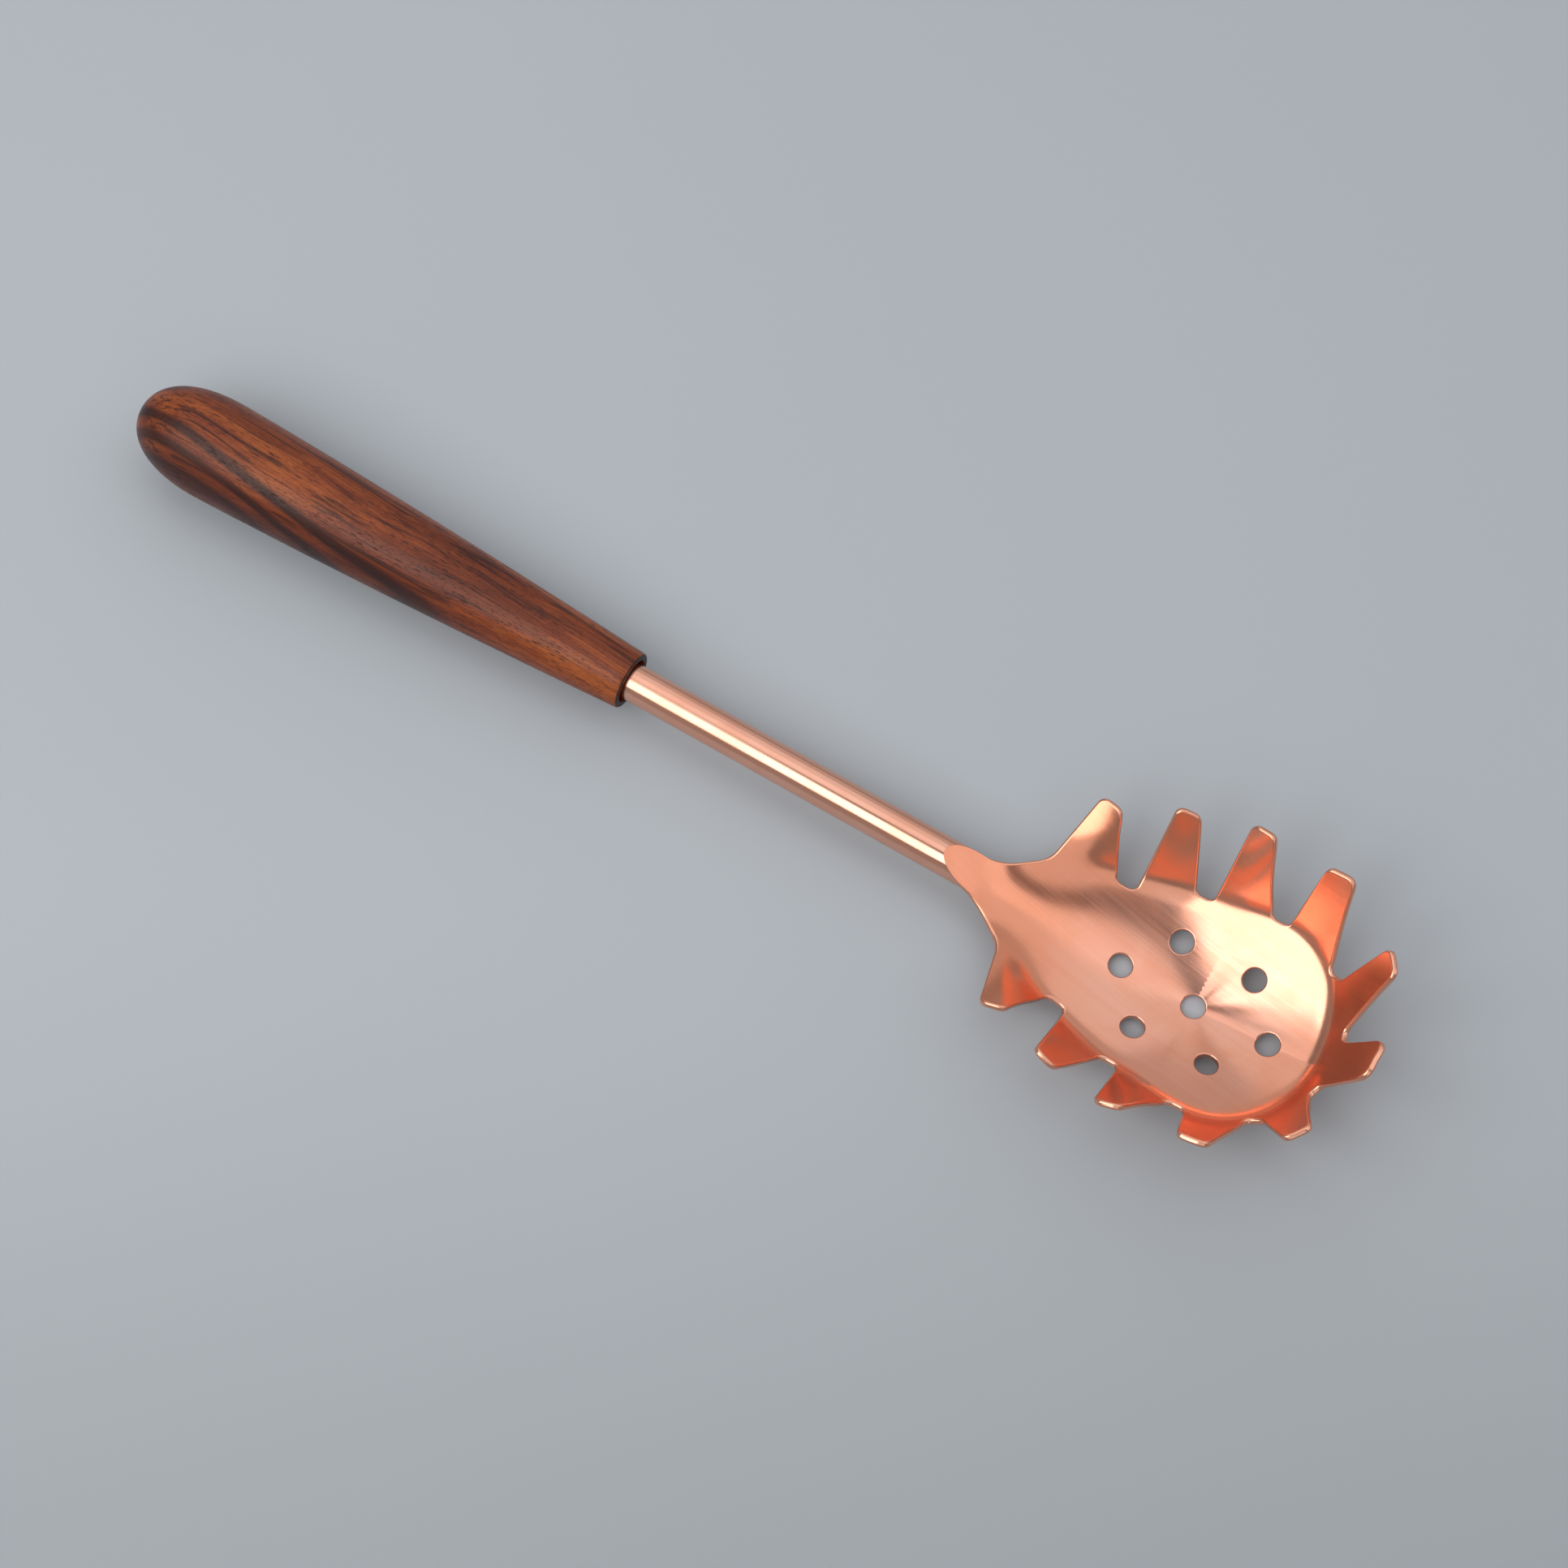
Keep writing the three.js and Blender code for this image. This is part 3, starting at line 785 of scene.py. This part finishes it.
def makeHead():
    half = head["thickness"] / 2
    turns = np.linspace(0, math.pi / 2, head["roundingRings"] + 1)
    edges = blankEdges()
    inner = [ring - outward * rounding[:, None] for ring, outward, rounding in edges]
    grid, triangles = faceTriangles(inner)
    places, normals, blanks, rims = [], [], [], []

    def addPoints(blank, height, outward, turn, side):
        base, up, along, across = formed(blank)
        out = unit(outward[:, :1] * along + outward[:, 1:] * across + 1e-12)
        place = base + up * (height - half)[:, None]
        normal = unit(up * (side * math.cos(turn)) + out * math.sin(turn))
        dressed = place[:, 2] < 0
        place[dressed, 2] = 0
        normal[dressed] = (0, 0, -1)
        places.append(place)
        normals.append(normal)
        blanks.append(np.c_[blank, height])
        rims.append(np.full(len(blank), math.sin(turn)))

    # both faces hold the inner rings first and then the grid
    for side in (1, -1):
        for ring, (_, outward, rounding) in zip(inner, edges):
            addPoints(ring, np.full(len(ring), side * half), outward, 0.0, side)
        flat = np.zeros((len(grid), 2))
        flat[:, 0] = 1
        addPoints(grid, np.full(len(grid), side * half), flat, 0.0, side)
    faceCount = sum(len(ring) for ring in inner) + len(grid)
    faces = [tuple(t) for t in triangles]
    faces += [tuple(t[::-1] + faceCount) for t in triangles]
    used = 2 * faceCount
    start = 0
    for ring, outward, rounding in edges:
        count = len(ring)
        columns = [start + np.arange(count)]
        for side in (1, -1):
            for turn in turns[1:] if side == 1 else turns[:0:-1]:
                blank = ring - outward * (rounding * (1 - math.sin(turn)))[:, None]
                height = side * (half - rounding * (1 - math.cos(turn)))
                addPoints(blank, height, outward, turn, side)
                columns.append(used + np.arange(count))
                used += count
        columns.append(start + faceCount + np.arange(count))
        for above, below in zip(columns, columns[1:]):
            for i in range(count):
                j = (i + 1) % count
                faces.append((above[i], below[i], below[j], above[j]))
        start += count
    mesh = meshFrom("server_head_sheet", np.vstack(places), faces, bowlMatrix)
    mesh.shade_smooth()
    mesh.normals_split_custom_set_from_vertices(np.vstack(normals).tolist())
    blank = mesh.attributes.new("blankPlace", "FLOAT_VECTOR", "POINT")
    blank.data.foreach_set("vector", np.vstack(blanks).astype(np.float32).ravel())
    rim = mesh.attributes.new("rim", "FLOAT", "POINT")
    rim.data.foreach_set("value", np.concatenate(rims).astype(np.float32))
    return newPiece("pressed_head", mesh)


pressedHead = makeHead()
finishPiece(pressedHead, "server_head", copperSheet)


# the tube, cut on a slant to take the tongue

# where a line along the shaft at height z meets the plane a depth under the face
def slantedEnd(z, depth):
    lift = depth + facetNormal.z * (z - facetPoint.z)
    return facetPoint.x - lift / facetNormal.x


def makeTube():
    outer, inner = tube["radius"], tube["radius"] - tube["wall"]
    sides = tube["sides"]
    turns = np.arange(sides) * 2 * math.pi / sides  # from the top towards +Y
    sheetHalf = head["thickness"] / 2
    dropStart, dropEnd = tube["lipDrop"]
    under = sheetHalf * smoothStep((dropStart - np.cos(turns)) / (dropStart - dropEnd))
    outerEnd = slantedEnd(outer * np.cos(turns), under)
    innerEnd = slantedEnd(inner * np.cos(turns), head["thickness"] + tube["underSheet"])
    innerEnd = np.minimum(innerEnd, outerEnd - tube["lipWidth"])
    fixedEnd = min(outerEnd.min(), innerEnd.min()) - tube["plainEnd"]
    stations = np.linspace(-tube["insertion"], fixedEnd, tube["rings"])
    rings = [(np.full(sides, x), outer) for x in stations] + [(outerEnd, outer)]
    rings += [(innerEnd, inner)] + [(np.full(sides, x), inner) for x in stations[::-1]]
    points = np.vstack(
        [np.stack([x, r * np.sin(turns), r * np.cos(turns)], 1) for x, r in rings]
    )
    faces = []
    count = len(rings)
    for k in range(count):
        a, b = k * sides, ((k + 1) % count) * sides
        for i in range(sides):
            j = (i + 1) % sides
            faces.append((a + i, b + i, b + j, a + j))
    mesh = meshFrom("shaft_tube_mesh", points, faces, shaftMatrix)
    smoothShade(mesh, 35)
    return newPiece("polished_tube", mesh)


polishedTube = makeTube()
finishPiece(polishedTube, "shaft_tube", copperTube)


# geometry nodes: turned pieces and the braze bead

def nodeTree(name, inputs):
    tree = bpy.data.node_groups.new(name, "GeometryNodeTree")
    for socket, kind in inputs:
        tree.interface.new_socket(socket, in_out="INPUT", socket_type=kind)
    tree.interface.new_socket("Mesh", in_out="OUTPUT", socket_type="NodeSocketGeometry")
    entry = tree.nodes.new("NodeGroupInput").outputs
    leave = tree.nodes.new("NodeGroupOutput").inputs
    return tree, entry, leave


weldDistance = 0.001  # above the rounding error of a far pole, below the shortest edge


# closes poles and seams, then ends the tree as every tree here ends
def endTree(tree, mesh, entry, leave):
    values = {"Geometry": mesh, "Distance": weldDistance}
    merged = addNode(tree, "GeometryNodeMergeByDistance", values)
    smooth = addNode(tree, "GeometryNodeSetShadeSmooth", {"Geometry": merged.outputs[0]})
    real = addNode(tree, "GeometryNodeRealizeInstances", {"Geometry": smooth.outputs[0]})
    values = {"Geometry": real.outputs[0], "Material": entry["Finish"]}
    finish = addNode(tree, "GeometryNodeSetMaterial", values)
    tree.links.new(finish.outputs[0], leave["Mesh"])


# turns a profile, drawn as radius and depth below the mouth, about the shaft's axis
def turningTree():
    inputs = [
        ("Profile", "NodeSocketGeometry"),
        ("Sides", "NodeSocketInt"),
        ("Path Radius", "NodeSocketFloat"),
        ("Finish", "NodeSocketMaterial"),
    ]
    tree, entry, leave = nodeTree("turning", inputs)
    values = {"Resolution": entry["Sides"], "Radius": entry["Path Radius"]}
    path = addNode(tree, "GeometryNodeCurvePrimitiveCircle", values)
    values = {"Curve": path.outputs["Curve"], "Profile Curve": entry["Profile"]}
    mesh = addNode(tree, "GeometryNodeCurveToMesh", values)
    endTree(tree, mesh.outputs[0], entry, leave)
    return tree


# a bead with a thick middle and thin ends along a path
def beadTree():
    inputs = [
        ("Path", "NodeSocketGeometry"),
        ("Radius", "NodeSocketFloat"),
        ("Steps", "NodeSocketInt"),
        ("Sides", "NodeSocketInt"),
        ("Finish", "NodeSocketMaterial"),
    ]
    tree, entry, leave = nodeTree("bead", inputs)
    values = {"Curve": entry["Path"], "Count": entry["Steps"]}
    path = addNode(tree, "GeometryNodeResampleCurve", values)
    share = addNode(tree, "GeometryNodeSplineParameter").outputs["Factor"]
    bulge = mathOf(tree, "SINE", mathOf(tree, "MULTIPLY", share, math.pi))
    bulge = mathOf(tree, "POWER", bulge, 0.5)
    bulge = mathOf(tree, "MAXIMUM", bulge, 0.02)
    size = mathOf(tree, "MULTIPLY", bulge, entry["Radius"])
    ring = addNode(
        tree, "GeometryNodeCurvePrimitiveCircle", {"Resolution": entry["Sides"], "Radius": 1.0}
    )
    values = {
        "Curve": path.outputs[0],
        "Profile Curve": ring.outputs["Curve"],
        "Scale": size,
        "Fill Caps": True,
    }
    mesh = addNode(tree, "GeometryNodeCurveToMesh", values)
    endTree(tree, mesh.outputs[0], entry, leave)
    return tree


def lineObject(name, points):
    curve = bpy.data.curves.new(name, "CURVE")
    curve.dimensions = "3D"
    spline = curve.splines.new("POLY")
    spline.points.add(len(points) - 1)
    for point, place in zip(spline.points, points):
        point.co = (*place, 1)
    return newPiece(name, curve)


# gives a line the tree, takes the result as a plain mesh and removes the line
def meshByNodes(line, tree, values, name, matrix):
    modifier = line.modifiers.new(tree.name, "NODES")
    modifier.node_group = tree
    sockets = {item.name: item.identifier for item in tree.interface.items_tree}
    for socket, value in values.items():
        modifier[sockets[socket]] = value
    line.update_tag()
    graph = bpy.context.evaluated_depsgraph_get()
    mesh = bpy.data.meshes.new_from_object(line.evaluated_get(graph))
    line.modifiers.remove(modifier)
    bpy.data.objects.remove(line)
    mesh.name = name
    mesh.transform(matrix)
    return newPiece(name, mesh)


turning = turningTree()
bead = beadTree()

grip = {
    "length": 146.0,
    "mouthRadius": 7.5,
    "bellyRadius": bellyRadius / mm,
    "bellyToButt": 23.0,
    "domeExponent": 2.3,
    "mouthRounding": 0.7,
    "boreRounding": 0.25,
    "taperExponent": 1.12,
    "waistBulge": 0.35,
    "boreRadius": 5.75,
    "boreDepth": 66.0,
    "domeSteps": 40,
    "taperSteps": 60,
    "sides": 160,
}
sleeve = {"inner": 5.05, "outer": 5.45, "depth": 5.0, "meniscus": 0.35, "sides": 96}
fillet = {
    "radius": 1.15,
    "fromTurn": 130.0,  # from the top of the tube to the bead's two ends
    "depth": 1.9,
    "standOff": 0.2,  # of the bead's middle from the tube's outside
    "ahead": 0.3,  # of the slanted end
    "steps": 48,
    "sides": 16,
}
pathRadius = 1.0  # of the circle that a profile is carried round


def quarterRound(centre, radius, fromTurn, toTurn, steps=6):
    turns = np.radians(np.linspace(fromTurn, toTurn, steps))
    return [(centre[0] + radius * math.cos(t), centre[1] + radius * math.sin(t)) for t in turns]


# x along the shaft and radius, from the bottom of the bore round to the butt
def gripProfile():
    bore, rounding, edge = grip["boreRadius"], grip["mouthRounding"], grip["boreRounding"]
    mouth = grip["mouthRadius"]
    profile = [(-grip["boreDepth"], 0), (-grip["boreDepth"], bore)]
    profile += [(x, bore) for x in np.linspace(-grip["boreDepth"] + 3, -3, 12)]
    profile += quarterRound((-edge, bore + edge), edge, -90, 0)
    profile += quarterRound((-rounding, mouth - rounding), rounding, 0, 78)
    belly = grip["bellyToButt"] - grip["length"]
    for t in np.linspace(0, 1, grip["taperSteps"])[::-1][1:]:
        narrowing = t ** grip["taperExponent"]
        radius = grip["bellyRadius"] + (mouth - grip["bellyRadius"]) * narrowing
        x = belly + (-rounding - belly) * t
        profile.append((x, radius + grip["waistBulge"] * math.sin(math.pi * t)))
    power = grip["domeExponent"]
    for turn in np.linspace(0, math.pi / 2, grip["domeSteps"])[1:]:
        reach = math.sin(turn)
        radius = grip["bellyRadius"] * max(0.0, 1 - reach**power) ** (1 / power)
        profile.append((belly - grip["bellyToButt"] * reach, radius))
    return profile


def turned(name, profile, sides, finish, sharpAngle):
    line = lineObject(name + "_line", [(r - pathRadius, -x, 0) for x, r in profile])
    values = {"Sides": sides, "Path Radius": pathRadius, "Finish": finish}
    upright = shaftMatrix @ Matrix.Rotation(math.pi / 2, 4, "Y")
    piece = meshByNodes(line, turning, values, name, upright)
    smoothShade(piece.data, sharpAngle)
    return piece


turnedGrip = turned("turned_grip", gripProfile(), grip["sides"], handleWood, 50)
finishPiece(turnedGrip, "handle_grip", handleWood)


# the resin fills the gap behind the mouth and dips a little between the walls
def sleeveProfile():
    inner, outer = sleeve["inner"], sleeve["outer"]
    back, front = -tube["insertion"], -sleeve["depth"]
    dip = sleeve["meniscus"]
    profile = [(back, inner)] + [(x, inner) for x in np.linspace(back + 2, front - 2, 12)]
    for t in np.linspace(0, 1, 9):
        profile.append((front - dip * math.sin(math.pi * t), inner + (outer - inner) * t))
    profile += [(x, outer) for x in np.linspace(front - 2, back + 2, 12)]
    profile += [(back, outer), (back, inner)]
    return profile


resinSleeve = turned("resin_sleeve", sleeveProfile(), sleeve["sides"], resin, 60)
finishPiece(resinSleeve, "bond_sleeve", resin)


# the bead lies in the corner between the tube's underside and the neck
def makeBraze():
    turns = np.radians(np.linspace(fillet["fromTurn"], 360 - fillet["fromTurn"], 33))
    reach = tube["radius"] + fillet["standOff"]
    path = []
    for turn in turns:
        z = reach * math.cos(turn)
        x = slantedEnd(z, fillet["depth"]) + fillet["ahead"]
        path.append((x, reach * math.sin(turn), z))
    line = lineObject("braze_line", path)
    values = {
        "Radius": fillet["radius"],
        "Steps": fillet["steps"],
        "Sides": fillet["sides"],
        "Finish": copperBraze,
    }
    return meshByNodes(line, bead, values, "braze_bead", shaftMatrix)


brazeBead = makeBraze()
finishPiece(brazeBead, "braze_fillet", copperBraze)


# table, lights and camera

stage = {
    "floorSize": 6.0,
    "floorColour": (0.40, 0.436, 0.474),
    "paintedFloorShade": 0.78,  # painted shade: how much darker the floor is painted at the near end of the view, where less light falls
    "shadeAcross": (-0.5, 0.86, 0),
    "shadeRange": (-0.24, -0.02),
    "horizonColour": (0.36, 0.35, 0.34),
    "zenithColour": (0.20, 0.20, 0.21),
    "skyRange": (0.15, 0.65),  # heights on a unit sphere between those two colours
}


def makeFloor():
    half = stage["floorSize"] / 2
    points = [(-half, -half, 0), (half, -half, 0), (half, half, 0), (-half, half, 0)]
    mesh = meshFrom("table_top", points, [(0, 1, 2, 3)], Matrix.Identity(4))
    floor = newPiece("table_top", mesh)
    material, tree, shader = newMaterial("paintedTable", Roughness=0.6)
    place = addNode(tree, "ShaderNodeTexCoord").outputs["Object"]
    cloudy = addNode(tree, "ShaderNodeTexNoise", {"Vector": place, "Scale": 5.0, "Detail": 3.0})
    low, high = stage["floorColour"], [c * 1.04 for c in stage["floorColour"]]
    colour = mixColour(tree, cloudy.outputs["Fac"], low, high)
    far = addNode(
        tree, "ShaderNodeVectorMath", {0: place, 1: stage["shadeAcross"]}, operation="DOT_PRODUCT"
    ).outputs["Value"]
    # painted shade: the floor's colour darkens towards the near end of the view
    shade = remap(tree, far, *stage["shadeRange"], stage["paintedFloorShade"], 1.0)
    shade = addNode(tree, "ShaderNodeCombineXYZ", {"X": shade, "Y": shade, "Z": shade}).outputs[0]
    colour = mixColour(tree, 1.0, colour, shade, "MULTIPLY")
    tree.links.new(colour, shader.inputs["Base Color"])
    floor.data.materials.append(material)


makeFloor()


# the plain surroundings, paler near the horizon
def makeWorld():
    world = bpy.data.worlds.new("studio")
    world.use_nodes = True
    tree = world.node_tree
    place = addNode(tree, "ShaderNodeTexCoord").outputs["Object"]
    height = addNode(tree, "ShaderNodeSeparateXYZ", {"Vector": place}).outputs["Z"]
    share = remap(tree, mathOf(tree, "ABSOLUTE", height), *stage["skyRange"])
    sky = mixColour(tree, share, stage["horizonColour"], stage["zenithColour"])
    tree.links.new(sky, tree.nodes["Background"].inputs["Color"])
    scene.world = world


makeWorld()

softboxes = {
    # lean is the angle from straight up, towards -Y where it is positive; start and
    # end are the box's ends along X, from the middle of the bowl
    "keyBox": {"lean": 36.5, "span": 41.0, "distance": 1.1, "start": -1.25, "end": -0.06,
               "glow": 2.8, "colour": (1.0, 0.98, 0.95)},
    "sideBox": {"lean": 36.5, "span": 41.0, "distance": 1.1, "start": -0.03, "end": 1.4,
                "glow": 0.62, "colour": (1.0, 0.98, 0.96)},
    "gapFill": {"lean": 11.0, "span": 12.5, "distance": 1.15, "start": -1.3, "end": -0.34,
                "glow": 1.2, "colour": (1.0, 0.99, 0.97)},
    "upperFill": {"lean": -12.5, "span": 29.0, "distance": 1.2, "start": -1.4, "end": 1.9,
                  "glow": 0.95, "colour": (1.0, 0.99, 0.98)},
    "middleFill": {"lean": -41.0, "span": 28.0, "distance": 1.2, "start": -1.4, "end": 1.9,
                   "glow": 0.7, "colour": (1.0, 0.99, 0.98)},
    "lowerFill": {"lean": -66.0, "span": 22.0, "distance": 1.2, "start": -1.4, "end": 1.6,
                  "glow": 0.3, "colour": (1.0, 0.98, 0.96)},
}


def makeSoftbox(name, box):
    lean = math.radians(box["lean"])
    away = Vector((0, -math.sin(lean), math.cos(lean)))
    width = 2 * box["distance"] * math.tan(math.radians(box["span"] / 2))
    light = bpy.data.lights.new(name, "AREA")
    light.shape = "RECTANGLE"
    length = box["end"] - box["start"]
    light.size = length
    light.size_y = width
    light.energy = box["glow"] * math.pi * length * width
    light.color = box["colour"]
    lamp = bpy.data.objects.new(name, light)
    across = away.cross(Vector((1, 0, 0)))
    centre = away * box["distance"]
    centre.x = bowlX + (box["start"] + box["end"]) / 2
    lamp.matrix_world = Matrix(
        (
            (1, across.x, away.x, centre.x),
            (0, across.y, away.y, centre.y),
            (0, across.z, away.z, centre.z),
            (0, 0, 0, 1),
        )
    )
    lamp.visible_camera = False
    scene.collection.objects.link(lamp)


for name, box in softboxes.items():
    makeSoftbox(name, box)

view = {
    "aim": (16.21, -0.45, 0.0),
    "azimuth": 35.5,
    "elevation": 69.205,
    "distance": 740.75,
    "roll": -4.67,
    "lens": 69.34,
}


def makeCamera():
    azimuth, elevation = math.radians(view["azimuth"]), math.radians(view["elevation"])
    level = math.cos(elevation)
    away = Vector((math.sin(azimuth) * level, -math.cos(azimuth) * level, math.sin(elevation)))
    data = bpy.data.cameras.new("camera")
    data.lens = view["lens"]
    data.sensor_width = 36
    data.clip_start = 0.01
    camera = bpy.data.objects.new("camera", data)
    camera.location = (Vector(view["aim"]) + away * view["distance"]) * mm
    look = (-away).to_track_quat("-Z", "Y").to_matrix()
    turn = look @ Matrix.Rotation(math.radians(view["roll"]), 3, "Z")
    camera.rotation_euler = turn.to_euler()
    scene.collection.objects.link(camera)
    scene.camera = camera


makeCamera()
scene.view_settings.view_transform = "Standard"
scene.view_settings.look = "None"
print("stage made")
